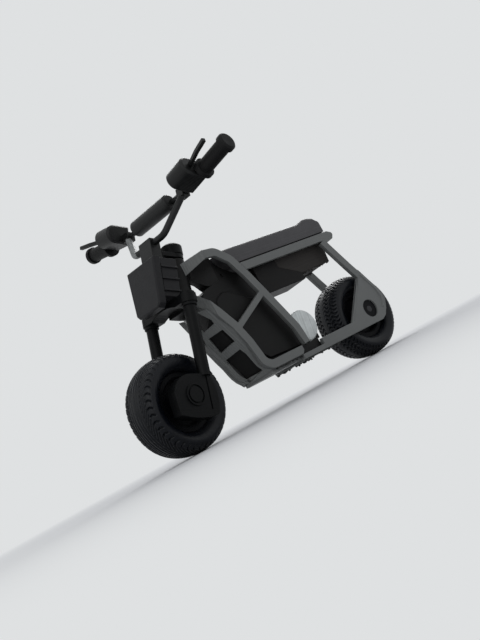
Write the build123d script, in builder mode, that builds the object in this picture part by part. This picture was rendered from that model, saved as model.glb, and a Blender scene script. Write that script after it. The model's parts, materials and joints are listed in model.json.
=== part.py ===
# Printed scale model of an electric dirt bike, as separate pieces.
# Two open side plates carry a head tube, a prow-shaped skid guard, a power pack, a motor and a seat.
# The fork, its head box and the handlebar turn together, and both fat-tyred wheels roll.
# Millimetres, +X forward, +Y to the bike's left, +Z up.
# The origin is on top of the seat, where a rider would sit. The steering is stored turned left.
from build123d import *
from math import cos, radians, sin
import os

os.makedirs("parts", exist_ok=True)

# Driving sizes
wheel_diameter = 64.0
tyre_width = 28.0
wheelbase_length = 180.0
arch_height = 116.5  # ground to the top of the frame's arch
seat_thickness = 12.238
rider_back = 28.0  # the rider's place, behind the middle of the wheelbase
rake_angle = 18.5  # the steering axis leans back by this much
turn_angle = 10.0  # the steering is stored turned left by this much
axle_lead = 22.0  # front axle ahead of the steering axis
leg_lead = 13.0  # fork legs ahead of the steering axis
leg_spacing = 42.0
leg_diameter = 8.0
frame_width = 38.0  # over both side plates
plate_thickness = 3.5
tube_width = 6.0  # width of the plates' bars, seen from the side
overrun = 20.0  # how far a cut runs past what it cuts
running_fit = 0.06  # radial play of what turns on a pin

# Axles and hubs
axle_radius = 2.5
hub_radius = 6.5
rim_radius = 19.0
rim_width = 17.0
web_thickness = 7.0
rim_rounding = 1.5
flange_depth = 3.0
bead_width = 18.0
hub_gap = 0.5  # from a hub's end to what carries the wheel
cap_radius = 6.9
cap_recess = 1.2

wheel_radius = wheel_diameter / 2
half_base = wheelbase_length / 2
plate_outer = frame_width / 2
plate_inner = plate_outer - plate_thickness

# Heights along the steering axis, from its foot beside the front axle, tied to the arch
head_over_arch = 3.5
head_long = 32.5
crown_thickness = 6.0
crown_gap = 1.2
foot_height = wheel_radius - axle_lead * sin(radians(rake_angle))
head_high = (arch_height - foot_height) / cos(radians(rake_angle)) + head_over_arch
head_low = head_high - head_long
crown_high = head_low - crown_gap
crown_low = crown_high - crown_thickness

# Lengths of the side plates run from the rear axle to the middle of the head tube
foot_forward = half_base - axle_lead * cos(radians(rake_angle))
head_forward = foot_forward - (head_low + head_high) / 2 * sin(radians(rake_angle))
plate_run = half_base + head_forward

# Seat rails, and the seat's heights over them
rail_height_share = 0.828
seat_gap = 1.3  # dark line between the rails and the seat
seat_low = rail_height_share * arch_height + tube_width / 2 + seat_gap
seat_height = seat_low + seat_thickness
ground = -seat_height


# Planes and places, from the middle of the wheelbase and the ground
def side_plane(y):
    return Plane(origin=(rider_back, y, ground), x_dir=(1, 0, 0), z_dir=(0, -1, 0))


def level_plane(z):
    return Plane(origin=(rider_back, 0, ground + z), x_dir=(1, 0, 0), z_dir=(0, 0, 1))


def cross_plane(x, y, z):
    return Plane(origin=(rider_back + x, y, ground + z), x_dir=(0, 1, 0), z_dir=(1, 0, 0))


# Places on a side plate: shares of the plate's run forward, and of the arch's height up
def forward(share):
    return share * plate_run - half_base


def height(share):
    return share * arch_height


def on_plate(shares):
    return [(forward(x_share), height(z_share)) for x_share, z_share in shares]


def band(shares, width, radius=0.0):
    points = on_plate(shares)
    with BuildLine() as middle:
        if radius > 0:
            FilletPolyline(*points, radius=radius)
        else:
            Polyline(*points)
    trace(middle.line, line_width=width)


def outline(points, mode=Mode.ADD):
    with BuildLine() as edge:
        Polyline(*points, close=True)
    make_face(edge.edges(), mode=mode)


def area(shares, mode=Mode.ADD):
    outline(on_plate(shares), mode)


# The steering axis, upward, and planes that turn with it
straight = Vector(cos(radians(rake_angle)), 0, sin(radians(rake_angle)))
sideways = Vector(0, 1, 0)
lean = Vector(-sin(radians(rake_angle)), 0, cos(radians(rake_angle)))
ahead = straight * cos(radians(turn_angle)) + sideways * sin(radians(turn_angle))
across = sideways * cos(radians(turn_angle)) - straight * sin(radians(turn_angle))
rear_axle_place = Vector(rider_back - half_base, 0, ground + wheel_radius)
steer_foot = Vector(rider_back + foot_forward, 0, ground + foot_height)
front_axle_place = steer_foot + ahead * axle_lead
steer_middle = Plane(origin=steer_foot, x_dir=ahead, z_dir=across)


def steer_place(a, y, c):
    return steer_foot + ahead * a + across * y + lean * c


def steer_level(c):
    return Plane(origin=steer_place(0, 0, c), x_dir=ahead, z_dir=lean)


def steer_side(y):
    return Plane(origin=steer_place(0, y, 0), x_dir=ahead, z_dir=-across)


def steer_front(a):
    return Plane(origin=steer_place(a, 0, 0), x_dir=across, z_dir=ahead)


def finish(piece, name):
    piece.part.label = name
    export_step(piece.part, f"parts/{name}.step")


# Side plate, front loop: arch and rear tube, lower tube and bottom rail, cross strut
bend_share = 0.8750  # where the arch leaves the plate for the head tube
low_bend_share = 0.9806  # the same for the lower tube
strut_width = 4.2
bar_bend = 7.0
arch_shares = [
    (0.910, 0.977), (0.808, 0.968), (0.737, 0.895), (0.687, 0.772), (0.608, 0.530), (0.558, 0.370),
    (0.549, 0.258),
]
lower_shares = [
    (1.027, 0.750), (0.964, 0.634), (0.912, 0.522), (0.880, 0.408), (0.857, 0.266), (0.817, 0.2325),
    (0.592, 0.2325),
]
strut_shares = [(0.904, 0.503), (0.652, 0.642)]
rail_end_shares = [(0.614, 0.200), (0.569, 0.257), (0.516, 0.257), (0.516, 0.200)]
with BuildPart() as frame_left:
    with BuildSketch(side_plane(plate_outer)):
        band(arch_shares, tube_width, bar_bend)
        band(lower_shares, tube_width, bar_bend)
        band(strut_shares, strut_width)
        area(rail_end_shares, Mode.SUBTRACT)
    extrude(amount=plate_thickness)
    with BuildSketch(side_plane(plate_outer)):
        with Locations((forward(bend_share) + overrun, arch_height)):
            Rectangle(overrun * 2, overrun * 2)
        with Locations((forward(low_bend_share) + overrun, height(arch_shares[4][1]) + overrun)):
            Rectangle(overrun * 2, overrun * 2)
    extrude(amount=plate_thickness, mode=Mode.SUBTRACT)
finish(frame_left, "frame_left")

with BuildPart() as frame_right:
    mirror(frame_left.part, about=Plane.XZ)
finish(frame_right, "frame_right")

# Side plate, rear part: seat rail, stay down to the axle plate, lower rail under the pivot block
# The axle plate has a raised line along its back edge and a bevelled front edge.
rail_shares = [(0.720, rail_height_share), (0.003, rail_height_share)]
tail_shares = [(0.054, 0.855), (0.004, 0.855), (-0.027, 0.838), (-0.031, 0.822), (-0.014, 0.796), (0.054, 0.778)]
stay_shares = [(0.076, 0.800), (-0.011, 0.595), (-0.054, 0.500)]
axle_plate_shares = [
    (-0.067, 0.540), (-0.042, 0.502), (0.178, 0.244), (0.445, 0.244), (0.445, 0.206),
    (0.615, 0.206), (0.615, 0.174), (-0.053, 0.174), (-0.088, 0.192), (-0.122, 0.234),
    (-0.148, 0.284), (-0.152, 0.316), (-0.136, 0.385), (-0.100, 0.462),
]
back_line_shares = [(-0.060, 0.500), (-0.112, 0.385), (-0.126, 0.318), (-0.121, 0.290), (-0.098, 0.246)]
back_line_width = 1.4
back_line_rise = 0.8
front_bevel_share = (0.068, 0.373)
front_bevel = 1.8
with BuildPart() as subframe_left:
    with BuildSketch(side_plane(plate_outer)):
        area(axle_plate_shares)
    extrude(amount=plate_thickness)
    bevel_x, bevel_z = on_plate([front_bevel_share])[0]
    bevel_place = Vector(rider_back + bevel_x, plate_outer, ground + bevel_z)
    chamfer(subframe_left.edges().sort_by_distance(bevel_place)[0], length=front_bevel)
    with BuildSketch(side_plane(plate_outer)):
        band(rail_shares, tube_width)
        band(stay_shares, tube_width)
        area(tail_shares)
    extrude(amount=plate_thickness)
    with BuildSketch(side_plane(plate_outer + back_line_rise)):
        band(back_line_shares, back_line_width)
    extrude(amount=back_line_rise)
    with BuildSketch(side_plane(plate_outer)):
        with Locations((-half_base, wheel_radius)):
            Circle(cap_radius)
    extrude(amount=plate_thickness, mode=Mode.SUBTRACT)
    add(frame_left.part, mode=Mode.SUBTRACT)
finish(subframe_left, "subframe_left")

with BuildPart() as subframe_right:
    mirror(subframe_left.part, about=Plane.XZ)
finish(subframe_right, "subframe_right")

# Neck: the tapered head tube, with upper and lower cheeks out to the side plates
head_low_radius = 8.4
head_high_radius = 7.0
head_rounding = 1.6
stem_radius = 3.0
cheek_tuck = 2.5  # the cheeks' half gap inside the head tube
cheek_high_drop = 9.9  # the cheeks' inner ends, from the head tube's ends
cheek_high_tall = 9.0
cheek_low_rise = 4.4
cheek_low_tall = 10.4
cheek_low_share = 0.6625
crown_boss_radius = 8.0
with BuildPart() as neck:
    with BuildSketch(steer_level(head_low)):
        Circle(head_low_radius)
    with BuildSketch(steer_level(head_high)):
        Circle(head_high_radius)
    loft()
    chamfer(neck.faces().sort_by(Axis(steer_foot, lean))[0].edges(), length=head_rounding)
    for side in (1, -1):
        plate_middle = side * (plate_outer - plate_thickness / 2)
        tuck_middle = side * (cheek_tuck + plate_thickness / 2)
        high_end = steer_place(0, 0, head_high - cheek_high_drop)
        with BuildSketch(cross_plane(forward(bend_share), plate_middle, arch_height - tube_width / 2)):
            Rectangle(plate_thickness, tube_width)
        with BuildSketch(Plane(origin=high_end + sideways * tuck_middle, x_dir=(0, 1, 0), z_dir=(1, 0, 0))):
            Rectangle(plate_thickness, cheek_high_tall)
        loft()
        low_end = steer_place(0, 0, head_low + cheek_low_rise)
        with BuildSketch(cross_plane(forward(low_bend_share), plate_middle, height(cheek_low_share))):
            Rectangle(plate_thickness, cheek_low_tall)
        with BuildSketch(Plane(origin=low_end + sideways * tuck_middle, x_dir=(0, 1, 0), z_dir=(1, 0, 0))):
            Rectangle(plate_thickness, cheek_low_tall)
        loft()
    with BuildSketch(steer_level(head_low - overrun)):
        Circle(stem_radius + running_fit)
    extrude(amount=head_long + overrun * 2, mode=Mode.SUBTRACT)
    with BuildSketch(steer_level(head_low - overrun)):
        Circle(crown_boss_radius + crown_gap)
    extrude(amount=overrun, mode=Mode.SUBTRACT)
finish(neck, "neck")

# Skid guard: a ladder on each side, slanting in from the lower tubes to one nose bar
guard_slant = 48.0
guard_tilt = 22.03  # the lower tubes lean forward by this much
guard_foot_share = (0.8637, 0.2918)
guard_tuck = 1.0
guard_thickness = 3.0
guard_size = height(0.515)
guard_top_gap = 1.5
nose_half = 3.0
nose_width = 3.0
guard_shares = [
    (0.075, 0.915), (0.113, 0.970), (0.195, 0.892), (0.268, 0.678), (0.293, 0.577), (0.335, 0.457),
    (0.345, 0.302), (0.347, 0.200), (0.360, 0.130), (0.367, 0.055), (0.352, -0.020), (0.312, -0.095),
    (0.278, -0.117), (0.237, -0.133), (0.060, -0.172), (-0.033, -0.175), (-0.017, -0.072), (-0.025, 0.112),
    (-0.044, 0.295), (-0.045, 0.433), (-0.042, 0.567), (-0.008, 0.725),
]
guard_window_shares = [
    [(0.128, 0.878), (0.095, 0.770), (0.067, 0.685), (0.077, 0.637), (0.228, 0.640), (0.232, 0.747)],
    [(0.242, 0.560), (0.058, 0.527), (0.055, 0.340), (0.263, 0.350)],
    [(0.277, 0.258), (0.080, 0.237), (0.070, 0.157), (0.085, -0.027), (0.072, -0.105), (0.272, -0.112),
     (0.300, -0.037), (0.315, 0.085)],
]
nose_shares = [
    (1.027, 0.500), (1.023, 0.469), (1.000, 0.395), (0.982, 0.345), (0.973, 0.309),
    (0.963, 0.275), (0.947, 0.244), (0.925, 0.218),
]
slant_cos = cos(radians(guard_slant))
guard_out = Vector(
    slant_cos * cos(radians(guard_tilt)), -sin(radians(guard_slant)), -slant_cos * sin(radians(guard_tilt))
)
guard_up = Vector(sin(radians(guard_tilt)), 0, cos(radians(guard_tilt)))
foot_x, foot_z = on_plate([guard_foot_share])[0]
guard_foot = Vector(rider_back + foot_x, plate_inner + guard_tuck, ground + foot_z)
guard_plane = Plane(origin=guard_foot, x_dir=guard_out, z_dir=guard_out.cross(guard_up))
with BuildPart() as skid_guard:
    with BuildSketch(guard_plane):
        outline([(q * guard_size, p * guard_size) for q, p in guard_shares])
        for window_shares in guard_window_shares:
            outline([(q * guard_size, p * guard_size) for q, p in window_shares], Mode.SUBTRACT)
    extrude(amount=guard_thickness)
    mirror(about=Plane.XZ)
    with BuildSketch(side_plane(nose_half)):
        band(nose_shares, nose_width)
    extrude(amount=nose_half * 2)
    for other in (frame_left, frame_right, neck):
        add(other.part, mode=Mode.SUBTRACT)
    with BuildSketch(steer_level(crown_low - guard_top_gap)):
        Rectangle(overrun * 4, overrun * 4)
    extrude(amount=overrun * 2, mode=Mode.SUBTRACT)
finish(skid_guard, "skid_guard")

# Belly pan between the bottom rails, narrowing forward under the guard
pan_low = height(0.1845)
pan_high = height(0.2318)
pan_rear = forward(0.6151)
pan_front = forward(0.8336)
pan_tip = forward(0.9100)
pan_tip_half = 4.0
with BuildPart() as belly_pan:
    with BuildSketch(level_plane(pan_low)):
        outline([
            (pan_rear, -plate_inner), (pan_front, -plate_inner), (pan_tip, -pan_tip_half),
            (pan_tip, pan_tip_half), (pan_front, plate_inner), (pan_rear, plate_inner),
        ])
    extrude(amount=pan_high - pan_low)
    add(skid_guard.part, mode=Mode.SUBTRACT)
finish(belly_pan, "belly_pan")

# Power pack: one heavy closed box inside the front loop, with a prow inside the guard,
# a bevelled cover on each side and a narrow nose under the arch
pack_half = 10.0
pack_shares = [
    (0.5250, 0.2610), (0.5870, 0.2610), (0.5870, 0.2335), (0.9280, 0.2335), (1.0220, 0.519), (0.9920, 0.618),
    (0.9500, 0.772), (0.9200, 0.7930), (0.8150, 0.815), (0.8150, 0.934), (0.8117, 0.935), (0.7550, 0.868),
    (0.7046, 0.8267), (0.6804, 0.8206), (0.6610, 0.772), (0.5820, 0.530), (0.5380, 0.370),
]
prow_side_share = 0.8486
prow_nose_share = 0.9112
prow_tip_half = 1.5
cover_rise = 1.5
cover_slope = 30.0
cover_shares = [
    (0.5365, 0.2600), (0.7690, 0.2730), (0.8600, 0.386), (0.9040, 0.530), (0.9200, 0.640), (0.9060, 0.704),
    (0.8880, 0.722), (0.8456, 0.743), (0.8072, 0.735), (0.7657, 0.7064), (0.7453, 0.6884), (0.6290, 0.612),
    (0.6004, 0.551), (0.5763, 0.481), (0.5530, 0.391), (0.5300, 0.289),
]
nose_side_shares = [
    (0.7900, 0.790), (0.8640, 0.812), (0.8766, 0.823), (0.8924, 0.842), (0.9135, 0.864), (0.9452, 0.8867),
    (0.9750, 0.9020), (0.9750, 0.938), (0.9000, 0.972), (0.8117, 0.970), (0.7900, 0.910),
]
nose_half_shares = [(0.7900, 1.00), (0.8100, 1.00), (0.8650, 0.50), (0.9052, 0.26), (0.9700, 0.19)]
port_share = (0.7900, 0.836)
port_radius = 1.3
port_depth = 1.2
with BuildPart() as pack_nose:
    with BuildSketch(side_plane(pack_half)):
        area(nose_side_shares)
    extrude(amount=pack_half * 2)
    with BuildSketch(level_plane(0)):
        nose_edge = [(forward(share), half * pack_half) for share, half in nose_half_shares]
        outline(nose_edge + [(x, -y) for x, y in reversed(nose_edge)])
    extrude(amount=arch_height, mode=Mode.INTERSECT)

with BuildPart() as power_pack:
    with BuildSketch(side_plane(pack_half)):
        area(pack_shares)
    extrude(amount=pack_half * 2)
    with BuildSketch(level_plane(pan_high)):
        outline([
            (-half_base, -pack_half), (forward(prow_side_share), -pack_half),
            (forward(prow_nose_share), -prow_tip_half), (forward(prow_nose_share), prow_tip_half),
            (forward(prow_side_share), pack_half), (-half_base, pack_half),
        ])
    extrude(amount=arch_height, dir=guard_up, mode=Mode.INTERSECT)
    with BuildSketch(Plane(origin=(rider_back, pack_half, ground), x_dir=(-1, 0, 0), z_dir=(0, 1, 0))):
        outline([(-x, z) for x, z in on_plate(cover_shares)])
    extrude(amount=cover_rise, taper=cover_slope)
    mirror(about=Plane.XZ)
    add(pack_nose.part)
    with BuildSketch(side_plane(pack_half)):
        with Locations(on_plate([port_share])[0]):
            Circle(port_radius)
    extrude(amount=port_depth, mode=Mode.SUBTRACT)
    with BuildSketch(steer_level(0)):
        Circle(crown_boss_radius + crown_gap)
    extrude(amount=head_high, mode=Mode.SUBTRACT)
finish(power_pack, "power_pack")

# Seat pan between the seat rails, and what hangs under it
seat_pan_low = height(0.824)
seat_pan_front = forward(0.6993)
seat_pan_rear = forward(0.0136)
with BuildPart() as seat_pan:
    with BuildSketch(level_plane(seat_pan_low)):
        with Locations(((seat_pan_front + seat_pan_rear) / 2, 0)):
            Rectangle(seat_pan_front - seat_pan_rear, plate_inner * 2)
    extrude(amount=seat_low - seat_pan_low)
finish(seat_pan, "seat_pan")

# Seat: a printed block, raised at the back, with a slanted front along the arch
seat_clearance = 0.3
seat_width = 33.0
seat_round = 2.4
hump_rise = 2.2
seat_front_share = 0.7034
seat_top_front_share = 0.7618
seat_rear_share = 0.0038
hump_shares = [0.1684, 0.1127, 0.0733, 0.0353]
with BuildPart() as seat:
    with BuildSketch(side_plane(seat_width / 2)):
        outline([
            (forward(seat_rear_share), seat_low),
            (forward(seat_front_share), seat_low),
            (forward(seat_top_front_share), seat_height),
            (forward(hump_shares[0]), seat_height),
            (forward(hump_shares[1]), seat_height + hump_rise),
            (forward(hump_shares[2]), seat_height + hump_rise),
            (forward(hump_shares[3]), seat_height + hump_rise / 2),
            (forward(seat_rear_share), seat_height - hump_rise),
        ])
    extrude(amount=seat_width)
    top_edges = seat.faces().filter_by(Axis.Y).edges().filter_by_position(Axis.Z, -seat_round, overrun)
    fillet(top_edges, radius=seat_round)
    with BuildSketch(side_plane(plate_outer)):
        band(arch_shares, tube_width + seat_clearance * 2, bar_bend)
    extrude(amount=frame_width, mode=Mode.SUBTRACT)
finish(seat, "seat")

# Controller box and tray under the seat pan
box_half = 12.0
controller_shares = [
    (0.592, 0.627), (0.282, 0.627), (0.282, 0.670), (0.422, 0.755), (0.422, 0.824), (0.592, 0.824),
]
tray_shares = [(0.422, 0.755), (0.282, 0.670), (0.049, 0.680), (0.030, 0.824), (0.422, 0.824)]
for shares, word in ((controller_shares, "controller_box"), (tray_shares, "seat_tray")):
    with BuildPart() as under_box:
        with BuildSketch(side_plane(box_half)):
            area(shares)
        extrude(amount=box_half * 2)
    finish(under_box, word)

# Pivot block across the frame behind the belly, and the motor in its cradle on top
block_low = height(0.2060)
block_high = height(0.2575)
block_front = forward(0.5839)
block_rear = forward(0.4454)
motor_radius = 12.0
motor_width = 17.0
motor_bevel = 0.8
motor_line_deep = 0.8
motor_line_width = 1.0
motor_line_in = 1.8
motor_share = 0.4375
motor_lift = 12.6  # over the block
cradle_width = 12.0
cradle_long = 20.0
cradle_rise = 6.0
motor_x = forward(motor_share)
motor_z = block_high + motor_lift
with BuildPart() as pivot_block:
    with BuildSketch(level_plane(block_low)):
        with Locations(((block_front + block_rear) / 2, 0)):
            Rectangle(block_front - block_rear, plate_inner * 2)
    extrude(amount=block_high - block_low)
    with BuildSketch(side_plane(cradle_width / 2)):
        with Locations((motor_x, block_high + cradle_rise / 2)):
            Rectangle(cradle_long, cradle_rise)
        with Locations((motor_x, motor_z)):
            Circle(motor_radius, mode=Mode.SUBTRACT)
    extrude(amount=cradle_width)
finish(pivot_block, "pivot_block")

with BuildPart() as motor:
    with BuildSketch(side_plane(motor_width / 2)):
        with Locations((motor_x, motor_z)):
            Circle(motor_radius)
    extrude(amount=motor_width)
    chamfer(motor.edges().filter_by(GeomType.CIRCLE), length=motor_bevel)
    with BuildSketch(side_plane(motor_width / 2 - motor_line_in)):
        with Locations((motor_x, motor_z)):
            Circle(motor_radius)
            Circle(motor_radius - motor_line_deep, mode=Mode.SUBTRACT)
    extrude(amount=motor_line_width, mode=Mode.SUBTRACT)
finish(motor, "motor")

# Wheels: a fat tyre on a printed rim, turning on a plain axle
# The front tyre has three ribs round its middle. Rows are shares of the half width and of the side's height.
tyre_side_shares = [
    (0.643, 0.000), (0.800, 0.077), (0.943, 0.246), (1.000, 0.477), (0.970, 0.660), (0.840, 0.815),
    (0.620, 0.920),
]
rib_shares = [
    (0.430, 0.972), (0.400, 0.925), (0.350, 0.925), (0.320, 0.982), (0.150, 0.998), (0.120, 0.945),
    (0.070, 0.945), (0.040, 1.000),
]
plain_shares = [(0.320, 0.982), (0.110, 1.000)]


def make_wheel(centre, turning, hub_half, top_shares, end):
    section = Plane(origin=centre, x_dir=turning, z_dir=turning.cross(Vector(0, 0, 1)))
    axle_line = Axis(centre, turning)
    half = [
        (w * tyre_width / 2, rim_radius + r * (wheel_radius - rim_radius))
        for w, r in tyre_side_shares + top_shares
    ]
    with BuildPart() as tyre:
        with BuildSketch(section):
            outline(half + [(-w, r) for w, r in reversed(half)])
        revolve(axis=axle_line)
    finish(tyre, f"{end}_tyre")
    flange = rim_radius - flange_depth
    bore = axle_radius + running_fit
    quarter = [
        (rim_width / 2, rim_radius), (rim_width / 2, flange), (rim_width / 2 - rim_rounding, flange - rim_rounding),
        (web_thickness / 2, flange - rim_rounding), (web_thickness / 2, hub_radius), (hub_half, hub_radius),
        (hub_half, bore),
    ]
    with BuildPart() as rim:
        with BuildSketch(section):
            outline(quarter + [(-w, r) for w, r in reversed(quarter)])
        revolve(axis=axle_line)
    finish(rim, f"{end}_rim")


lug_inner = 16.0
make_wheel(front_axle_place, across, lug_inner - hub_gap, rib_shares, "front")
make_wheel(rear_axle_place, sideways, plate_inner - hub_gap, plain_shares, "rear")

# Rear axle, and the caps that hold it in the plates' round holes
with BuildPart() as rear_axle:
    with BuildSketch(side_plane(plate_outer - cap_recess)):
        with Locations((-half_base, wheel_radius)):
            Circle(axle_radius)
    extrude(amount=(plate_outer - cap_recess) * 2)
finish(rear_axle, "rear_axle")

with BuildPart() as axle_cap_left:
    with BuildSketch(side_plane(plate_outer - cap_recess)):
        with Locations((-half_base, wheel_radius)):
            Circle(cap_radius)
            Circle(axle_radius, mode=Mode.SUBTRACT)
    extrude(amount=plate_thickness - cap_recess)
finish(axle_cap_left, "axle_cap_left")

with BuildPart() as axle_cap_right:
    mirror(axle_cap_left.part, about=Plane.XZ)
finish(axle_cap_right, "axle_cap_right")

# Fork: two legs in one crown, with a bell-shaped lug at each foot
# A lug has a ringed boss at the axle, a groove up the middle of the leg and a thick lower lip.
collar_radius = 5.6
collar_step = 4.9
collar_step_low = 2.0
collar_step_high = 1.2
crown_bar = 11.0
crown_arch_rise = 2.6
crown_arch_radius = 34.0
lug_thickness = 7.0
lug_size = 32.0
lug_front_shares = [(0.097, 0.410), (0.400, 0.300), (0.560, 0.020)]
lug_low_shares = [(0.510, -0.380), (0.120, -0.447), (-0.361, -0.402)]
lug_back_shares = [(-0.361, -0.402), (-0.440, -0.260), (-0.459, -0.051)]
lug_side_shares = [(-0.459, -0.051), (-0.420, 0.200), (-0.314, 0.410)]
lip_rise = 0.9
lip_shares = [(0.510, -0.380), (0.519, -0.310), (-0.420, -0.310), (-0.361, -0.402)]
boss_share = 0.080
boss_radius = 6.9
boss_rise = 0.9
boss_groove_outer = 6.0
boss_groove_inner = 4.9
groove_share = -0.256
groove_width = 1.1
groove_low_share = -0.290
groove_depth = 0.8
leg_foot = 12.0
leg_half = leg_spacing / 2
lug_outer = lug_inner + lug_thickness


def on_lug(shares):
    return [(axle_lead + x * lug_size, z * lug_size) for x, z in shares]


with BuildPart() as fork_leg_left:
    with BuildSketch(steer_level(leg_foot)):
        with Locations((leg_lead, leg_half)):
            Circle(leg_diameter / 2)
    extrude(amount=crown_high - leg_foot)
finish(fork_leg_left, "fork_leg_left")

with BuildPart() as fork_lug_left:
    with BuildSketch(steer_side(lug_outer)):
        with BuildLine() as bell:
            ThreePointArc(*on_lug(lug_front_shares))
            Line(*on_lug([lug_front_shares[2], lug_low_shares[0]]))
            ThreePointArc(*on_lug(lug_low_shares))
            ThreePointArc(*on_lug(lug_back_shares))
            ThreePointArc(*on_lug(lug_side_shares))
            Line(*on_lug([lug_side_shares[2], lug_front_shares[0]]))
        make_face(bell.edges())
    extrude(amount=lug_thickness)
    with BuildSketch(steer_side(lug_outer + lip_rise)):
        with BuildLine() as lip:
            Polyline(*on_lug(lip_shares))
            ThreePointArc(*on_lug(lug_low_shares))
        make_face(lip.edges())
    extrude(amount=lip_rise)
    groove_low = groove_low_share * lug_size
    groove_high = lug_front_shares[0][1] * lug_size
    with BuildSketch(steer_side(lug_outer)):
        with Locations((axle_lead + groove_share * lug_size, (groove_low + groove_high) / 2)):
            Rectangle(groove_width, groove_high - groove_low)
    extrude(amount=groove_depth, mode=Mode.SUBTRACT)
    boss_place = (axle_lead + boss_share * lug_size, 0)
    with BuildSketch(steer_side(lug_outer + boss_rise)):
        with Locations(boss_place):
            Circle(boss_radius)
    extrude(amount=boss_rise)
    with BuildSketch(steer_side(lug_outer + boss_rise)):
        with Locations(boss_place):
            Circle(boss_groove_outer)
            Circle(boss_groove_inner, mode=Mode.SUBTRACT)
    extrude(amount=boss_rise, mode=Mode.SUBTRACT)
    add(fork_leg_left.part, mode=Mode.SUBTRACT)
    with BuildSketch(steer_side(lug_inner + lug_thickness / 2)):
        with Locations((axle_lead, 0)):
            Circle(axle_radius)
    extrude(amount=lug_thickness, mode=Mode.SUBTRACT)
finish(fork_lug_left, "fork_lug_left")

with BuildPart() as fork_leg_right:
    mirror(fork_leg_left.part, about=steer_middle)
finish(fork_leg_right, "fork_leg_right")

with BuildPart() as fork_lug_right:
    mirror(fork_lug_left.part, about=steer_middle)
finish(fork_lug_right, "fork_lug_right")

with BuildPart() as front_axle:
    with BuildSketch(steer_side(lug_inner + lug_thickness / 2)):
        with Locations((axle_lead, 0)):
            Circle(axle_radius)
    extrude(amount=lug_inner * 2 + lug_thickness)
finish(front_axle, "front_axle")

with BuildPart() as fork_crown:
    with BuildSketch(steer_level(crown_low)):
        with Locations((leg_lead, leg_half), (leg_lead, -leg_half)):
            Circle(collar_radius)
        with Locations((leg_lead, 0)):
            Rectangle(crown_bar, leg_spacing)
        Circle(crown_boss_radius)
        with Locations((leg_lead / 2, 0)):
            Rectangle(leg_lead, crown_boss_radius * 2)
    extrude(amount=crown_thickness)
    with BuildSketch(steer_front(leg_lead - crown_bar / 2)):
        with Locations((0, crown_low + crown_arch_rise - crown_arch_radius)):
            Circle(crown_arch_radius)
    extrude(amount=crown_bar, mode=Mode.SUBTRACT)
    with BuildSketch(steer_level(crown_low - collar_step_low)):
        with Locations((leg_lead, leg_half), (leg_lead, -leg_half)):
            Circle(collar_step)
    extrude(amount=crown_thickness + collar_step_low + collar_step_high)
    add(fork_leg_left.part, mode=Mode.SUBTRACT)
    add(fork_leg_right.part, mode=Mode.SUBTRACT)
    with BuildSketch(steer_level(crown_low)):
        Circle(stem_radius)
    extrude(amount=crown_thickness, mode=Mode.SUBTRACT)
finish(fork_crown, "fork_crown")

# Stem through the head tube, the top clamp on it, and the round cap over both
# The bar's clamp ends above the head box.
box_back = 10.0
box_face = 29.7
box_slab = 5.6
box_under_crown = 5.6
box_tall = 28.4  # over the crown
box_low_width = 26.2
box_high_width = 30.8
box_top_gap = 2.2
clamp_gap = 0.8
clamp_thickness = 3.4
stem_cap_tall = 7.8
stem_cap_radius = 7.4
stem_cap_bevel = 1.4
stem_cap_dish = 4.8
stem_cap_dish_deep = 0.9
bar_lead = 18.0
bar_over_head = 10.0
bar_radius = 2.3
clamp_half = 6.5
clamp_block_deep = 8.0
clamp_block_over = 2.8
top_clamp_low = head_high + clamp_gap
top_clamp_high = top_clamp_low + clamp_thickness
cap_high = top_clamp_high + stem_cap_tall
bar_up = head_high + bar_over_head
clamp_block_low = crown_high + box_tall + box_top_gap
clamp_block_high = bar_up + clamp_block_over
with BuildPart() as steering_stem:
    with BuildSketch(steer_level(crown_low)):
        Circle(stem_radius)
    extrude(amount=top_clamp_high - crown_low)
finish(steering_stem, "steering_stem")

with BuildPart() as top_clamp:
    with BuildSketch(steer_level(top_clamp_low)):
        Circle(head_high_radius)
        with Locations(((bar_lead - clamp_block_deep / 2) / 2, 0)):
            Rectangle(bar_lead - clamp_block_deep / 2, clamp_half * 2)
        Circle(stem_radius, mode=Mode.SUBTRACT)
    extrude(amount=clamp_thickness)
finish(top_clamp, "top_clamp")

with BuildPart() as stem_cap:
    with BuildSketch(steer_level(top_clamp_high)):
        Circle(stem_cap_radius)
    extrude(amount=stem_cap_tall)
    chamfer(stem_cap.faces().sort_by(Axis(steer_foot, lean))[-1].edges(), length=stem_cap_bevel)
    with BuildSketch(steer_level(cap_high - stem_cap_dish_deep)):
        Circle(stem_cap_dish)
    extrude(amount=stem_cap_dish_deep, mode=Mode.SUBTRACT)
finish(stem_cap, "stem_cap")

# Head box: a tapered number-plate box standing on the crown, with fins on its sides
box_waist = 2.6
box_corner = 2.5
box_edge = 0.9
fin_shares = [0.22, 0.50, 0.78]
fin_thickness = 1.2
box_slab_back = box_face - box_slab
box_reach = box_slab_back - box_back
with BuildPart() as head_box:
    for inset, start, depth, under in ((box_waist, box_back, box_reach, 0), (0, box_slab_back, box_slab, box_under_crown)):
        low_half = (box_low_width - inset) / 2
        high_half = (box_high_width - inset) / 2
        box_low = crown_high - under
        with BuildSketch(steer_front(start)):
            outline([
                (-low_half + box_corner, box_low), (low_half - box_corner, box_low),
                (low_half, box_low + box_corner), (high_half, crown_high + box_tall),
                (-high_half, crown_high + box_tall), (-low_half, box_low + box_corner),
            ])
        extrude(amount=depth)
    chamfer(head_box.faces().sort_by(Axis(steer_foot, ahead))[-1].edges(), length=box_edge)
    for share in fin_shares:
        fin_half = (box_low_width + share * (box_high_width - box_low_width)) / 2
        with BuildSketch(steer_front(box_back)):
            with Locations((0, crown_high + share * box_tall)):
                Rectangle(fin_half * 2, fin_thickness)
        extrude(amount=box_reach)
finish(head_box, "head_box")

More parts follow.
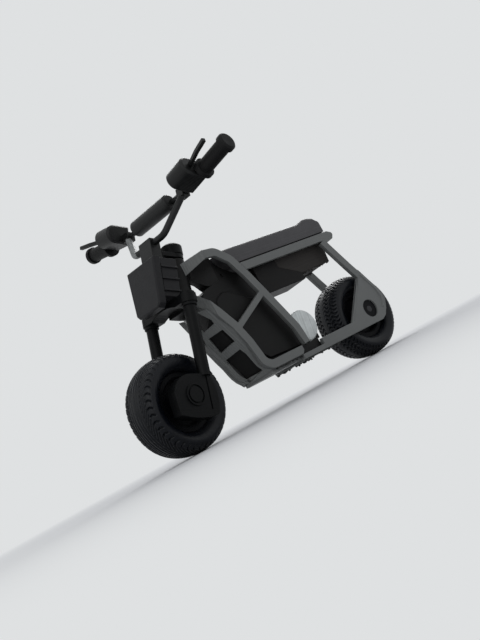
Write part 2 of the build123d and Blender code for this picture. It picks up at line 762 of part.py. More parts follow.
# Handlebar: one bent round bar; its points run from the middle to the left grip's end
bar_middle_half = 17.0
riser_back = 9.7
riser_out = 33.8
riser_up = 24.0
sweep_back = 0.2
grip_end = 78.4
grip_rise = 8.3
bar_corner = 7.0
bend_up = bar_up + riser_up
bar_points = [
    (bar_lead, bar_middle_half, bar_up),
    (bar_lead - riser_back, riser_out, bend_up),
    (bar_lead - riser_back - sweep_back, grip_end, bend_up + grip_rise),
]
with BuildPart() as handlebar:
    with BuildLine() as bar_path:
        FilletPolyline(
            *[steer_place(a, -y, c) for a, y, c in reversed(bar_points)],
            *[steer_place(a, y, c) for a, y, c in bar_points],
            radius=bar_corner,
        )
    with BuildSketch(Plane(origin=bar_path.line @ 0, z_dir=bar_path.line % 0)):
        Circle(bar_radius)
    sweep(path=bar_path.line)
finish(handlebar, "handlebar")

with BuildPart() as bar_clamp:
    with BuildSketch(steer_side(clamp_half)):
        with Locations((bar_lead, (clamp_block_low + clamp_block_high) / 2)):
            Rectangle(clamp_block_deep, clamp_block_high - clamp_block_low)
        with Locations((bar_lead, bar_up)):
            Circle(bar_radius, mode=Mode.SUBTRACT)
    extrude(amount=clamp_half * 2)
finish(bar_clamp, "bar_clamp")

# Grips, their flanges and end weights, the pods and the levers, all along the bar's outer run
outer_start = Vector(*bar_points[1])
outer_end = Vector(*bar_points[2])
outer_run = (outer_end - outer_start).normalized()
outer_length = (outer_end - outer_start).length


def bar_plane(along, side):
    place = outer_start + outer_run * along
    origin = steer_place(place.X, side * place.Y, place.Z)
    direction = ahead * outer_run.X + across * side * outer_run.Y + lean * outer_run.Z
    return Plane(origin=origin, x_dir=ahead, z_dir=direction)


grip_radius = 5.2
flange_radius = 7.0
flange_long = 3.4
grip_long = 23.6
end_radius = 6.3
end_long = 4.5
end_bevel = 1.2
grip_start = outer_length - grip_long
pod_long = 18.0
pod_grip_gap = 1.16618
pod_start = grip_start - pod_grip_gap - pod_long
pod_radius = 6.8
pod_round_lead = 8.6
pod_back = 3.6
pod_rise = 3.4
pod_bevel = 1.4
lever_thick = 2.6
lever_lift = 3.0
lever_shares = [(0.350, 0.160), (0.510, 0.200), (0.710, 0.255), (0.930, 0.290)]
for side, word in ((1, "left"), (-1, "right")):
    with BuildPart() as grip:
        with BuildSketch(bar_plane(grip_start, side)):
            Circle(flange_radius)
            Circle(bar_radius, mode=Mode.SUBTRACT)
        extrude(amount=flange_long)
        with BuildSketch(bar_plane(grip_start, side)):
            Circle(grip_radius)
            Circle(bar_radius, mode=Mode.SUBTRACT)
        extrude(amount=grip_long)
    finish(grip, f"grip_{word}")
    with BuildPart() as bar_end:
        with BuildSketch(bar_plane(outer_length, side)):
            Circle(end_radius)
        extrude(amount=end_long)
        chamfer(bar_end.faces().sort_by(Axis(steer_foot, across * side))[-1].edges(), length=end_bevel)
    finish(bar_end, f"bar_end_{word}")
    with BuildPart() as pod:
        with BuildSketch(bar_plane(pod_start, side)):
            with Locations((pod_round_lead, -side * pod_rise)):
                Circle(pod_radius)
            with Locations(((pod_round_lead - pod_back) / 2, -side * pod_rise)):
                Rectangle(pod_round_lead + pod_back, pod_radius * 2)
        extrude(amount=pod_long)
        pod_ends = pod.faces().sort_by(Axis(steer_foot, bar_plane(0, side).z_dir))
        chamfer(pod_ends[0].edges() + pod_ends[-1].edges(), length=pod_bevel)
        with BuildSketch(bar_plane(pod_start, side)):
            Circle(bar_radius)
        extrude(amount=pod_long, mode=Mode.SUBTRACT)
    finish(pod, f"pod_{word}")
    root = bar_plane(0, side)
    lever_root = root.origin + lean * lever_lift
    with BuildPart() as lever:
        with BuildSketch(Plane(origin=lever_root, x_dir=root.z_dir, z_dir=root.y_dir)):
            with BuildLine() as lever_line:
                Polyline(*[(x * outer_length, z * outer_length) for x, z in lever_shares])
            trace(lever_line.line, line_width=lever_thick)
        extrude(amount=lever_thick / 2, both=True)
        add(pod.part, mode=Mode.SUBTRACT)
    finish(lever, f"lever_{word}")

# Crossbar between the bends with a clamp at each end, and the big round pad on it
cross_radius = 1.8
cross_block = 6.4
cross_block_long = 6.4
pad_radius = 5.9
pad_half = 20.8
pad_lead = 1.6
pad_bevel = 1.5
cross_place = (bar_points[1][0], bend_up)
pad_place = (bar_points[1][0] + pad_lead, bend_up)
with BuildPart() as crossbar:
    with BuildSketch(steer_side(riser_out)):
        with Locations(cross_place):
            Circle(cross_radius)
    extrude(amount=riser_out * 2)
    with BuildSketch(steer_side(riser_out + bar_radius), steer_side(cross_block_long - riser_out - bar_radius)):
        with Locations(cross_place):
            Rectangle(cross_block, cross_block)
    extrude(amount=cross_block_long)
    add(handlebar.part, mode=Mode.SUBTRACT)
finish(crossbar, "crossbar")

with BuildPart() as bar_pad:
    with BuildSketch(steer_side(pad_half)):
        with Locations(pad_place):
            Circle(pad_radius)
    extrude(amount=pad_half * 2)
    chamfer(bar_pad.edges().filter_by(GeomType.CIRCLE), length=pad_bevel)
    with BuildSketch(steer_side(pad_half)):
        with Locations(cross_place):
            Circle(cross_radius)
    extrude(amount=pad_half * 2, mode=Mode.SUBTRACT)
finish(bar_pad, "bar_pad")
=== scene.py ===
# Looks for the printed scale model of an electric dirt bike.
# Metres, +X forward, +Y to the bike's left, +Z up, with the origin on top of the seat.
import json
from math import atan2, cos, hypot, pi, radians, sin, tau
from random import Random

import bmesh
import bpy
from mathutils import Matrix, Vector
from mathutils.bvhtree import BVHTree


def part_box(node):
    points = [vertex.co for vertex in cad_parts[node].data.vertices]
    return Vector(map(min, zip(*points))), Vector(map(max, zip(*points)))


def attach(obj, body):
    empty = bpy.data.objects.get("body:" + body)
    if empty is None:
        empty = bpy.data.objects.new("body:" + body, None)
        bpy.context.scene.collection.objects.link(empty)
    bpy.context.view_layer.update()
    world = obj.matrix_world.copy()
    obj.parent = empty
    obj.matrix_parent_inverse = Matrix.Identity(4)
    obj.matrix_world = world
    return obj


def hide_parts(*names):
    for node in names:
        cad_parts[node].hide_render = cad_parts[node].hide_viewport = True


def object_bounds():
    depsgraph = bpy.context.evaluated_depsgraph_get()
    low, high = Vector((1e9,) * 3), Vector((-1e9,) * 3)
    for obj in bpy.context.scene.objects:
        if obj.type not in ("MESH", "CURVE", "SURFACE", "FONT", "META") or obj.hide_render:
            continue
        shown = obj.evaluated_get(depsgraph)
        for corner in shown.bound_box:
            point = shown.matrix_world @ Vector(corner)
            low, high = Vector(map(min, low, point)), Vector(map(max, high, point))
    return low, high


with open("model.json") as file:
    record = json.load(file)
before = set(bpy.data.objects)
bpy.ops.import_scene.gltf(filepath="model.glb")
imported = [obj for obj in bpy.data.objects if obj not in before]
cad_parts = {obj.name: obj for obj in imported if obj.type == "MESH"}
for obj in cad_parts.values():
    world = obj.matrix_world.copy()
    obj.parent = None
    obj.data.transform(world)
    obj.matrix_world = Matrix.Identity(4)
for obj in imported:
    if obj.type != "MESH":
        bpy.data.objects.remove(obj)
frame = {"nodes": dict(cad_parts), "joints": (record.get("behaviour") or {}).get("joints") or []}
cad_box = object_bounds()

# Floor and backdrop: a plain pale board under the wheels that runs out into a pale backdrop.
# It is painted dull, so it takes the bike's soft shadow and shows no mirror image.
mm = 0.001
wheels_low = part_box("front_tyre")[0].z
floor_reach = 6.0
floor_fade_start = 0.15
floor_fade_end = 0.46
floor_colour = "#d6d7d8"
backdrop_colour = "#dfe1e2"


def linear(hex_colour):
    channels = [int(hex_colour[i:i + 2], 16) / 255 for i in (1, 3, 5)]
    return [c / 12.92 if c <= 0.04045 else ((c + 0.055) / 1.055) ** 2.4 for c in channels] + [1.0]


def add_node(tree, kind, settings=None, links=None):
    node = tree.nodes.new(kind)
    for name, value in (settings or {}).items():
        if isinstance(name, int) or name in node.inputs:
            node.inputs[name].default_value = value
        else:
            setattr(node, name, value)
    for name, source in (links or {}).items():
        tree.links.new(source, node.inputs[name])
    return node


def new_material(name):
    material = bpy.data.materials.new(name)
    material.use_nodes = True
    material.node_tree.nodes.clear()
    return material


def new_object(name, work):
    mesh = bpy.data.meshes.new(name)
    work.to_mesh(mesh)
    work.free()
    thing = bpy.data.objects.new(name, mesh)
    bpy.context.scene.collection.objects.link(thing)
    return thing


# One where the backdrop is seen, mirrored or seen through, and zero where it would only light something.
def looked_at(tree):
    path = add_node(tree, "ShaderNodeLightPath")
    seen = add_node(tree, "ShaderNodeMath", {"operation": "MAXIMUM"},
                    {0: path.outputs["Is Camera Ray"], 1: path.outputs["Is Glossy Ray"]})
    either = add_node(tree, "ShaderNodeMath", {"operation": "MAXIMUM"},
                      {0: seen.outputs[0], 1: path.outputs["Is Transmission Ray"]})
    return either.outputs[0]


board = bmesh.new()
bmesh.ops.create_grid(board, x_segments=1, y_segments=1, size=floor_reach)
bmesh.ops.translate(board, vec=(0, 0, wheels_low), verts=board.verts)
floor = new_object("floor", board)

# Dull pale paint: no shine near the bike, and further out it turns into the backdrop's even tone.
floor_paint = new_material("dull_pale_floor_paint")
tree = floor_paint.node_tree
place = add_node(tree, "ShaderNodeTexCoord")
away = add_node(tree, "ShaderNodeVectorMath", {"operation": "LENGTH"}, {0: place.outputs["Object"]})
fade = add_node(tree, "ShaderNodeMapRange",
                {"interpolation_type": "SMOOTHSTEP", "From Min": floor_fade_start, "From Max": floor_fade_end},
                {"Value": away.outputs["Value"]})
share = add_node(tree, "ShaderNodeMath", {"operation": "MULTIPLY"}, {0: fade.outputs[0], 1: looked_at(tree)})
paint = add_node(tree, "ShaderNodeBsdfPrincipled",
                 {"Base Color": linear(floor_colour), "Roughness": 0.95, "Specular IOR Level": 0.0})
far = add_node(tree, "ShaderNodeEmission", {"Color": linear(backdrop_colour), "Strength": 1.0})
mixed = add_node(tree, "ShaderNodeMixShader", None,
                 {0: share.outputs[0], 1: paint.outputs[0], 2: far.outputs[0]})
add_node(tree, "ShaderNodeOutputMaterial", None, {"Surface": mixed.outputs[0]})
floor.data.materials.append(floor_paint)

# Light: plain soft studio light, from a wide lamp behind the bike and a weaker one on the camera's side.
# The world's own even light fills the shadows, and the pale backdrop is seen in its place.
fill_colour = "#f4f6fa"
fill_strength = 0.62
lamp_aim = Vector((0.03, 0, -0.05))
world = bpy.data.worlds.new("soft_daylight")
world.use_nodes = True
bpy.context.scene.world = world
tree = world.node_tree
tree.nodes.clear()
fill = add_node(tree, "ShaderNodeBackground", {"Color": linear(fill_colour), "Strength": fill_strength})
backdrop = add_node(tree, "ShaderNodeBackground", {"Color": linear(backdrop_colour), "Strength": 1.0})
mixed = add_node(tree, "ShaderNodeMixShader", None,
                 {0: looked_at(tree), 1: fill.outputs[0], 2: backdrop.outputs[0]})
add_node(tree, "ShaderNodeOutputWorld", None, {"Surface": mixed.outputs[0]})


def add_lamp(name, spot, size, power):
    lamp = bpy.data.lights.new(name, "AREA")
    lamp.shape = "DISK"
    lamp.size = size
    lamp.energy = power
    thing = bpy.data.objects.new(name, lamp)
    thing.location = spot
    thing.rotation_mode = "QUATERNION"
    thing.rotation_quaternion = (lamp_aim - Vector(spot)).to_track_quat("-Z", "Y")
    bpy.context.scene.collection.objects.link(thing)


add_lamp("back_light", spot=(-0.8, -0.7, 0.75), size=0.9, power=9.0)
add_lamp("side_light", spot=(0.9, 0.9, 0.7), size=1.2, power=3.0)

# Camera: the photograph's view, low at the bike's left and front, rolled as the photograph is.
# Its place comes from the wheels, plates and bar ends as they stand in the photograph.
camera_aim = Vector((38.8, 0, -47.3)) * mm
camera_distance = 497.1 * mm
camera_heading = radians(-128.45)
camera_rise = radians(6.50)
camera_roll = radians(-28.50)
looking = Vector((cos(camera_heading) * cos(camera_rise), sin(camera_heading) * cos(camera_rise), sin(camera_rise)))
camera_data = bpy.data.cameras.new("camera")
camera_data.lens = 40.39
camera_data.sensor_width = 36.0
camera_data.clip_start = 10 * mm
camera = bpy.data.objects.new("camera", camera_data)
turned = looking.to_track_quat("-Z", "Y").to_matrix() @ Matrix.Rotation(camera_roll, 3, "Z")
camera.matrix_world = Matrix.Translation(camera_aim - looking * camera_distance) @ turned.to_4x4()
bpy.context.scene.collection.objects.link(camera)
bpy.context.scene.camera = camera
bpy.context.scene.view_settings.view_transform = "Standard"

# Side plates and subframe: two grey plates 3.5 mm thick, each an open loop ahead and a tube frame behind.
# Printed flat in satin grey plastic, so the faces show slanting nozzle strokes and the edges show layers.
plate_edge = 0.50
merge_reach = 0.03
flat_angle = radians(0.5)
edge_angle = radians(32)
shading_angle = radians(35)
blotch_size = 7.0
grit_size = 0.7
stroke_pitch = 1.1
grit_share = 0.35
stroke_share = 0.12
relief_share = 0.05
roughness_spread = 0.12
noise_low = 0.6
noise_high = 1.4


# Fused layers leave a line all round each wall, each layer a little lighter or darker than the next.
# Real layers are 0.2 mm and strokes 0.4 mm, too fine to show, so they are drawn three to eight times as coarse.
def printed_plastic(name, hex_colour, layers=(0, 0, 1), layer=0.6, strokes=None, roughness=0.48, mottle=0.10,
                    gloss=0.3):
    material = new_material(name)
    tree = material.node_tree
    place = add_node(tree, "ShaderNodeTexCoord")
    up = add_node(tree, "ShaderNodeVectorMath", {"operation": "DOT_PRODUCT", 1: layers},
                  {0: place.outputs["Object"]})
    turn = add_node(tree, "ShaderNodeMath", {"operation": "MULTIPLY", 1: tau / (layer * mm)},
                    {0: up.outputs["Value"]})
    ridge = add_node(tree, "ShaderNodeMath", {"operation": "SINE"}, {0: turn.outputs[0]})
    count = add_node(tree, "ShaderNodeMath", {"operation": "MULTIPLY", 1: 1 / (layer * mm)},
                     {0: up.outputs["Value"]})
    per_layer = add_node(tree, "ShaderNodeTexNoise", {"noise_dimensions": "1D", "Scale": 1.0, "Detail": 1.0},
                         {"W": count.outputs[0]})
    blotch = add_node(tree, "ShaderNodeTexNoise", {"Scale": 1 / (blotch_size * mm), "Detail": 4.0, "Roughness": 0.6},
                      {"Vector": place.outputs["Object"]})
    grit = add_node(tree, "ShaderNodeTexNoise", {"Scale": 1 / (grit_size * mm), "Detail": 1.0},
                    {"Vector": place.outputs["Object"]})
    both = add_node(tree, "ShaderNodeMath", {"operation": "ADD"},
                    {0: per_layer.outputs["Fac"], 1: blotch.outputs["Fac"]})
    tone = add_node(tree, "ShaderNodeMapRange",
                    {"From Min": noise_low, "From Max": noise_high,
                     "To Min": 1 - 2 * mottle, "To Max": 1 + 2 * mottle},
                    {"Value": both.outputs[0]})
    colour = add_node(tree, "ShaderNodeVectorMath", {"operation": "SCALE", 0: linear(hex_colour)[:3]},
                      {"Scale": tone.outputs[0]})
    rough = add_node(tree, "ShaderNodeMapRange",
                     {"To Min": roughness - roughness_spread, "To Max": roughness + roughness_spread},
                     {"Value": blotch.outputs["Fac"]})
    height = add_node(tree, "ShaderNodeMath", {"operation": "MULTIPLY_ADD", 1: grit_share},
                      {0: grit.outputs["Fac"], 2: ridge.outputs[0]})
    if strokes:
        slant = add_node(tree, "ShaderNodeVectorMath", {"operation": "DOT_PRODUCT", 1: strokes},
                         {0: place.outputs["Object"]})
        sweep = add_node(tree, "ShaderNodeMath", {"operation": "MULTIPLY", 1: tau / (stroke_pitch * mm)},
                         {0: slant.outputs["Value"]})
        stroke = add_node(tree, "ShaderNodeMath", {"operation": "SINE"}, {0: sweep.outputs[0]})
        height = add_node(tree, "ShaderNodeMath", {"operation": "MULTIPLY_ADD", 1: stroke_share},
                          {0: stroke.outputs[0], 2: height.outputs[0]})
    bump = add_node(tree, "ShaderNodeBump", {"Strength": 0.7, "Distance": relief_share * layer * mm},
                    {"Height": height.outputs[0]})
    shader = add_node(tree, "ShaderNodeBsdfPrincipled", {"IOR": 1.46, "Specular IOR Level": gloss},
                      {"Base Color": colour.outputs[0], "Roughness": rough.outputs[0], "Normal": bump.outputs[0]})
    add_node(tree, "ShaderNodeOutputMaterial", None, {"Surface": shader.outputs[0]})
    return material


# A printed edge is never knife sharp: a copy of each CAD solid gets a small rounded edge that catches light.
# The edge is in millimetres, and clamp narrows it where rounded edges would run into each other.
def round_edges(node, body, material, edge, clamp=False):
    work = bmesh.new()
    work.from_mesh(frame["nodes"][node].data)
    bmesh.ops.remove_doubles(work, verts=work.verts, dist=merge_reach * mm)
    bmesh.ops.dissolve_limit(work, angle_limit=flat_angle, verts=work.verts, edges=work.edges)
    sharp = [e for e in work.edges if e.is_manifold and e.calc_face_angle() > edge_angle]
    bmesh.ops.bevel(work, geom=sharp, offset=edge * mm, offset_type="OFFSET", segments=2, profile=0.5,
                    affect="EDGES", clamp_overlap=clamp, material=-1)
    bmesh.ops.recalc_face_normals(work, faces=work.faces)
    piece = new_object(f"{node}_print", work)
    for face in piece.data.polygons:
        face.use_smooth = True
    piece.data.set_sharp_from_angle(angle=shading_angle)
    piece.modifiers.new("even_shading", "WEIGHTED_NORMAL").keep_sharp = True
    piece.data.materials.append(material)
    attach(piece, body)
    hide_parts(node)
    return piece


# Satin grey plastic: a soft sheen on even faces, with faint diagonal strokes.
grey_print = printed_plastic("printed_satin_grey_plastic", "#626463", layers=(0, 1, 0), layer=1.15,
                             strokes=(0.71, 0, 0.71), roughness=0.46, mottle=0.05, gloss=0.45)
for node in ("frame_left", "frame_right", "subframe_left", "subframe_right"):
    round_edges(node, "frame", grey_print, plate_edge)

# Neck, skid guard and belly pan: the head tube with its cheeks, the open prow and the floor between the plates.
# Printed with the plates in the same grey, with ragged scars below where the support was torn away.
# The head tube itself is black.
guard_edge = 0.20
neck_edge = 0.12
head_tube_reach = 9.5
scar_teeth = 64
scar_deep = 1.7
scar_thick = 1.6
scar_sunk = 0.3
scar_wander = 0.3
scar_spread = 1.6
scar_past_block = 4.0
scar_short_of_pan = 14.0
rail_scar_out = 17.8
rail_scar_seed = 3

# Black plastic: dark satin faces with faint level lines.
black_print = printed_plastic("printed_black_plastic", "#0e0e0e", roughness=0.42, mottle=0.14, gloss=0.2)
round_edges("belly_pan", "frame", grey_print, guard_edge)
round_edges("skid_guard", "frame", grey_print, guard_edge, clamp=True)
neck = round_edges("neck", "frame", grey_print, neck_edge)
neck.data.materials.append(black_print)
steer = next(j for j in frame["joints"] if j["name"] == "steer")
for face in neck.data.polygons:
    from_axis = (face.center - Vector(steer["pos_m"])).cross(Vector(steer["axis"])).length
    face.material_index = 1 if from_axis < head_tube_reach * mm else 0


# A scar is a thin strip of teeth of uneven depth that follows the underside of the solids it was torn from.
def torn_support(name, nodes, start, end, across, material, seed):
    chance = Random(seed)
    solids = bmesh.new()
    for node in nodes:
        solids.from_mesh(frame["nodes"][node].data)
    underside = BVHTree.FromBMesh(solids)
    solids.free()
    length = end - start
    work = bmesh.new()
    bmesh.ops.create_cube(work, size=1.0)
    bmesh.ops.scale(work, vec=(length, scar_thick * mm, 1.0), verts=work.verts)
    bmesh.ops.translate(work, vec=((start + end) / 2, across, 0), verts=work.verts)
    lengthwise = [e for e in work.edges if abs(e.verts[0].co.x - e.verts[1].co.x) > length / 2]
    bmesh.ops.subdivide_edges(work, edges=lengthwise, cuts=scar_teeth, use_grid_fill=True)
    teeth = {}
    for vert in work.verts:
        drawn = (chance.random() ** scar_spread, chance.uniform(-scar_wander, scar_wander))
        hang, lean = teeth.setdefault(round(vert.co.x, 5), drawn)
        wall = underside.ray_cast(Vector((vert.co.x, across, cad_box[0][2] - 1)), Vector((0, 0, 1)))[0]
        below = vert.co.z < 0
        vert.co.y += lean * mm if below else 0
        vert.co.z = wall.z + (-hang * scar_deep if below else scar_sunk) * mm
    bmesh.ops.recalc_face_normals(work, faces=work.faces)
    piece = new_object(name, work)
    piece.data.materials.append(material)
    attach(piece, "frame")


# Torn grey plastic: dull and dark, as the broken ends hold shadow.
scar_print = printed_plastic("torn_grey_plastic", "#2a2b2a", layers=(0, 1, 0), roughness=0.75, mottle=0.2)
scar_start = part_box("pivot_block")[0].x - scar_past_block * mm
scar_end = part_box("belly_pan")[1].x - scar_short_of_pan * mm
for side, end in ((1, "left"), (-1, "right")):
    torn_support(f"torn_support_{end}", (f"frame_{end}", f"subframe_{end}"), scar_start, scar_end,
                 side * rail_scar_out * mm, scar_print, rail_scar_seed + side)

# Power pack: the big block between the plates, with a raised cover on each side and a nose above.
# Printed upright in the black plastic, so its layer lines run level.
pack_edge = 0.20
round_edges("power_pack", "frame", black_print, pack_edge)

# Seat, seat pan, tray and controller box: stacked on and under the subframe's rails.
# Printed upright in dark grey and brownish plastic, with scars along the tray's lower edges.
seat_edge = 0.35
tray_scar_start = -55.5
tray_scar_end = -24.8
tray_scar_out = 11.1
tray_scar_seed = 11

# Dark grey plastic: coarse level lines that show as steps on the seat's shallow top.
seat_print = printed_plastic("printed_dark_grey_plastic", "#434244", layer=0.8, roughness=0.5, mottle=0.12,
                             gloss=0.4)
# Brownish grey plastic: duller and more uneven, in the seat's shadow.
tray_print = printed_plastic("printed_brown_grey_plastic", "#262321", layer=0.8, roughness=0.6, mottle=0.16)
# Deep black plastic: nearly no shine, so the box reads as a dark block.
controller_print = printed_plastic("printed_deep_black_plastic", "#0c0b0b", roughness=0.5, mottle=0.10, gloss=0.2)
round_edges("seat", "frame", seat_print, seat_edge)
round_edges("seat_pan", "frame", seat_print, seat_edge)
round_edges("seat_tray", "frame", tray_print, seat_edge)
round_edges("controller_box", "frame", controller_print, seat_edge)
for side, end in ((1, "left"), (-1, "right")):
    torn_support(f"torn_tray_edge_{end}", ("seat_tray",), tray_scar_start * mm, tray_scar_end * mm,
                 side * tray_scar_out * mm, tray_print, tray_scar_seed + side)

# Pivot block and motor: a black block across the bottom rails, with the round motor in its cradle.
# The motor is printed on its side in a pale plastic and dropped into the cradle.
block_edge = 0.30
motor_edge = 0.25

# Pale plastic: layers that stand across the motor streak its round face with light and dark.
pale_print = printed_plastic("printed_pale_plastic", "#cbd0cf", layers=(1, 0, 0.2), layer=1.6, roughness=0.42,
                             mottle=0.11, gloss=0.5)
round_edges("pivot_block", "frame", black_print, block_edge)
round_edges("motor", "frame", pale_print, motor_edge)

# Rear wheel: a fat soft tyre with wavy cross lugs, pressed over a printed rim.
# Rim and tyre are printed lying down, the tyre in a flexible plastic, so the layers ring them.
rim_edge = 0.30
rim_radius = 19.0
wheel_radius = 32.0
tyre_half = 14.0
section_shares = [
    (0.643, 0.000), (0.800, 0.077), (0.943, 0.246), (1.000, 0.477), (0.970, 0.660), (0.840, 0.815),
    (0.620, 0.920), (0.320, 0.985), (0.110, 1.004),
]
section_cuts = 7
section_smoothing = 14
sectors = 16
sector_steps = 40
sector_merge = 0.01
tread_over_rim = 5.0
tread_deep = 1.2
wave_count = 60
wave_half = 0.95
wave_bow = 1.0
wave_start = 2.5
wave_long = 5.2
wave_stagger = 1.9
wave_fade_start = 1.8
wave_fade = 1.2
shoulder = 13.4
shoulder_fade = 0.8


# How far a cut goes in, from one on its middle line to zero at its half width.
def groove(offset, width):
    share = max(0.0, 1 - abs(offset) / width)
    return share * share * (3 - 2 * share)


# The distance to the nearest of a row of cuts that stand a pitch apart.
def wrap(value, pitch):
    return (value + pitch / 2) % pitch - pitch / 2


def rear_tread(around, across):
    out = abs(across)
    stagger = wave_stagger if across < 0 else 0.0
    bow = wave_bow * sin(tau * (out - wave_start) / wave_long)
    wave = wrap(around + stagger - bow, wheel_radius * tau / wave_count)
    fade_in = min(1, max(0, (out - wave_fade_start) / wave_fade))
    fade_out = min(1, max(0, (shoulder - out) / shoulder_fade))
    return tread_deep * groove(wave, wave_half) * fade_in * fade_out


# The tyre is spun in millimetres about its own middle, cut to its tread and then set on its axle.
def spin_tyre(end, joint, tread):
    work = bmesh.new()
    half = [(w * tyre_half, rim_radius + r * (wheel_radius - rim_radius)) for w, r in section_shares]
    line = [work.verts.new((r, w, 0)) for w, r in half + [(-w, r) for w, r in reversed(half)]]
    walls = [work.edges.new(pair) for pair in zip(line, line[1:])]
    bmesh.ops.subdivide_edges(work, edges=walls, cuts=section_cuts)
    bead = [v for v in work.verts if len(v.link_edges) == 1]
    for _ in range(section_smoothing):
        bmesh.ops.smooth_vert(work, verts=[v for v in work.verts if v not in bead], factor=0.5,
                              use_axis_x=True, use_axis_y=True, use_axis_z=True)
    work.edges.new(bead)
    bmesh.ops.spin(work, geom=work.verts[:] + work.edges[:], cent=(0, 0, 0), axis=(0, 1, 0),
                   angle=tau / sectors, steps=sector_steps)
    sector = work.verts[:] + work.edges[:] + work.faces[:]
    for number in range(1, sectors):
        copied = bmesh.ops.duplicate(work, geom=sector)["geom"]
        bmesh.ops.rotate(work, cent=(0, 0, 0), matrix=Matrix.Rotation(number * tau / sectors, 3, "Y"),
                         verts=[part for part in copied if isinstance(part, bmesh.types.BMVert)])
    bmesh.ops.remove_doubles(work, verts=work.verts, dist=sector_merge)
    bmesh.ops.recalc_face_normals(work, faces=work.faces)
    work.normal_update()
    cuts = []
    for vert in work.verts:
        radius = hypot(vert.co.x, vert.co.z)
        if radius > rim_radius + tread_over_rim:
            cuts.append((vert, vert.normal * tread(atan2(vert.co.z, vert.co.x) * wheel_radius, vert.co.y)))
    for vert, deep in cuts:
        vert.co -= deep
    hub = next(j for j in frame["joints"] if j["name"] == joint)
    stand = Vector((0, 1, 0)).rotation_difference(Vector(hub["axis"])).to_matrix().to_4x4()
    bmesh.ops.transform(work, matrix=Matrix.Translation(hub["pos_m"]) @ stand @ Matrix.Scale(mm, 4),
                        verts=work.verts)
    piece = new_object(f"{end}_tyre_tread", work)
    for face in piece.data.polygons:
        face.use_smooth = True
    piece.data.materials.append(tyre_print)
    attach(piece, f"{end}_wheel")
    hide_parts(f"{end}_tyre")


# Flexible black plastic: bluish and a little shiny, so each lug shows a thin light edge.
tyre_print = printed_plastic("printed_flexible_black_plastic", "#05080f", layers=(0, 1, 0), roughness=0.36,
                             mottle=0.12, gloss=0.28)
# Black rim plastic: the darkest and dullest, so the web sinks into the wheel's shadow.
rim_print = printed_plastic("printed_black_rim_plastic", "#050609", layers=(0, 1, 0), roughness=0.5, gloss=0.12)
spin_tyre("rear", "rear_roll", rear_tread)
round_edges("rear_rim", "rear_wheel", rim_print, rim_edge)

# Rear axle and its caps: a plain steel pin through the rim, and a black disc over each of its ends.
# The pin is cut from drawn wire, and the discs are pressed into the plates' round holes.
pin_edge = 0.25
wire_grain = 0.8

# Dull drawn steel: a grey metal whose fine unevenness breaks up its reflections.
pin_steel = new_material("dull_drawn_steel")
tree = pin_steel.node_tree
place = add_node(tree, "ShaderNodeTexCoord")
drawn = add_node(tree, "ShaderNodeTexNoise", {"Scale": 1 / (wire_grain * mm), "Detail": 2.0},
                 {"Vector": place.outputs["Object"]})
rough = add_node(tree, "ShaderNodeMapRange", {"To Min": 0.4, "To Max": 0.6}, {"Value": drawn.outputs["Fac"]})
shader = add_node(tree, "ShaderNodeBsdfPrincipled", {"Base Color": linear("#3c3c3e"), "Metallic": 1.0},
                  {"Roughness": rough.outputs[0]})
add_node(tree, "ShaderNodeOutputMaterial", None, {"Surface": shader.outputs[0]})
round_edges("rear_axle", "frame", pin_steel, pin_edge)
for node in ("axle_cap_left", "axle_cap_right"):
    round_edges(node, "frame", rim_print, pin_edge)

# Fork: two legs under an arched crown on the steering stem, with a bell-shaped lug at each foot.
# Printed standing in black plastic, so the layers cross the legs. The lugs hold the steel front axle.
fork_edge = 0.25
lug_edge = 0.12
along_legs = (-0.317, 0, 0.948)

# Black fork plastic: near black with a faint shine along each leg.
fork_print = printed_plastic("printed_black_fork_plastic", "#070809", layers=along_legs, roughness=0.42,
                             mottle=0.12, gloss=0.14)
for node in ("fork_leg_left", "fork_leg_right", "fork_crown", "steering_stem"):
    round_edges(node, "steering", fork_print, fork_edge)
for node in ("fork_lug_left", "fork_lug_right"):
    round_edges(node, "steering", fork_print, lug_edge)
round_edges("front_axle", "steering", pin_steel, pin_edge)

# Front wheel: the same tyre body and rim as the rear, on the front axle between the lugs.
# Its tread has three ribs round the middle, slanting cuts beside them and short arched cuts at the shoulder.
rib_cuts = [(1.3, 0.75), (3.3, 0.70), (5.4, 0.75)]
rib_cut_deep = 1.1
cut_half = 0.9
cut_stagger = 2.4
slant_count = 63
slant_start = 5.4
slant_end = 10.4
slant_lean = 1.9
slant_fade = 0.6
arch_count = 42
arch_start = 9.9
arch_bow = 1.3
arch_fade = 0.5


def front_tread(around, across):
    out = abs(across)
    stagger = cut_stagger if across < 0 else 0.0
    deep = rib_cut_deep * max(groove(out - middle, width) for middle, width in rib_cuts)
    if slant_start < out < slant_end:
        slant = wrap(around + stagger - slant_lean * (out - slant_start), wheel_radius * tau / slant_count)
        deep = max(deep, tread_deep * groove(slant, cut_half) * min(1, (slant_end - out) / slant_fade))
    if arch_start < out < shoulder:
        bow = arch_bow * sin(pi * (out - arch_start) / (shoulder - arch_start))
        arch = wrap(around + stagger - bow, wheel_radius * tau / arch_count)
        deep = max(deep, tread_deep * groove(arch, cut_half) * min(1, (shoulder - out) / arch_fade))
    return deep


spin_tyre("front", "front_roll", front_tread)
round_edges("front_rim", "front_wheel", rim_print, rim_edge)

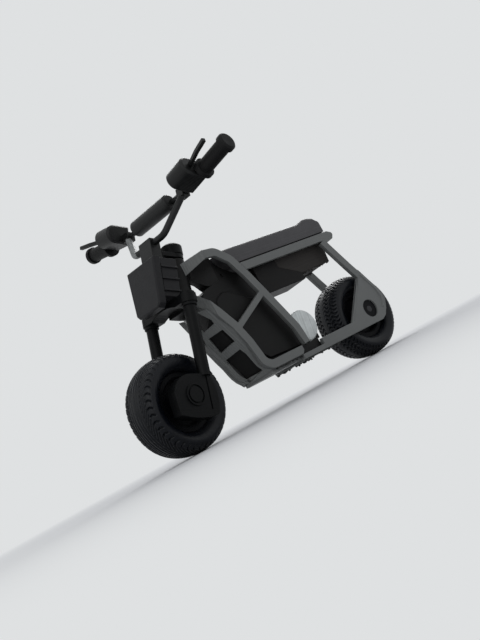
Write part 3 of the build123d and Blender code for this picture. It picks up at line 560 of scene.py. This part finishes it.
# Top clamp, stem cap and head box: the clamp over the head tube, its round cap, and the box in front.
# Clamp and cap are printed with the fork and pushed on the stem. The box stands on the fork crown.
# Box plastic: a lighter, smoother black with level layers, so its flat front reads as a dark grey panel.
box_print = printed_plastic("printed_box_plastic", "#1b1b1d", roughness=0.48, mottle=0.1, gloss=0.25)
for node in ("top_clamp", "stem_cap"):
    round_edges(node, "steering", fork_print, fork_edge)
round_edges("head_box", "steering", box_print, fork_edge)

# Handlebar, its clamp, the crossbar and the round pad: the bar lies in the clamp, the pad on the crossbar.
# Printed lying down in black plastic, which is rough where the support under the thin bar was.
# The right riser is paler.
bar_edge = 0.30
crossbar_edge = 0.12
pale_riser_outer = -34.0
pale_riser_inner = -10.0
pale_riser_top = 49.0

# Rough black plastic: coarse layers and uneven tone give the bar its broken highlights.
bar_print = printed_plastic("rough_printed_black_plastic", "#151616", layer=0.8, roughness=0.4, mottle=0.2,
                            gloss=0.3)
# Pale riser plastic: the same print, paler and shinier on the right riser.
pale_riser_print = printed_plastic("pale_riser_plastic", "#7d807f", layer=0.8, roughness=0.4, mottle=0.25, gloss=0.5)
for node, edge in (("bar_clamp", bar_edge), ("crossbar", crossbar_edge), ("bar_pad", bar_edge)):
    round_edges(node, "steering", bar_print, edge)
bar = round_edges("handlebar", "steering", bar_print, bar_edge)
bar.data.materials.append(pale_riser_print)
# Faces on the right riser take the paler, shinier print.
for face in bar.data.polygons:
    on_riser = pale_riser_outer * mm < face.center.y < pale_riser_inner * mm and face.center.z < pale_riser_top * mm
    face.material_index = 1 if on_riser else 0

# Grips with their ends, the pods beside them and the levers: all pushed on the bar's outer runs.
# Grips are printed standing in a duller black, pods and levers in the bar's plastic.
grip_edge = 0.30
pod_edge = 0.35
along_grips = (-0.16, 0.985, -0.05)

# Dull black plastic: layers round each grip show as fine rings.
grip_print = printed_plastic("printed_dull_black_plastic", "#0c0c0d", layers=along_grips, layer=1.1,
                             roughness=0.6, mottle=0.12, gloss=0.25)
for side in ("left", "right"):
    round_edges(f"grip_{side}", "steering", grip_print, grip_edge)
    round_edges(f"bar_end_{side}", "steering", grip_print, grip_edge)
    round_edges(f"pod_{side}", "steering", bar_print, pod_edge)
    round_edges(f"lever_{side}", "steering", bar_print, grip_edge)
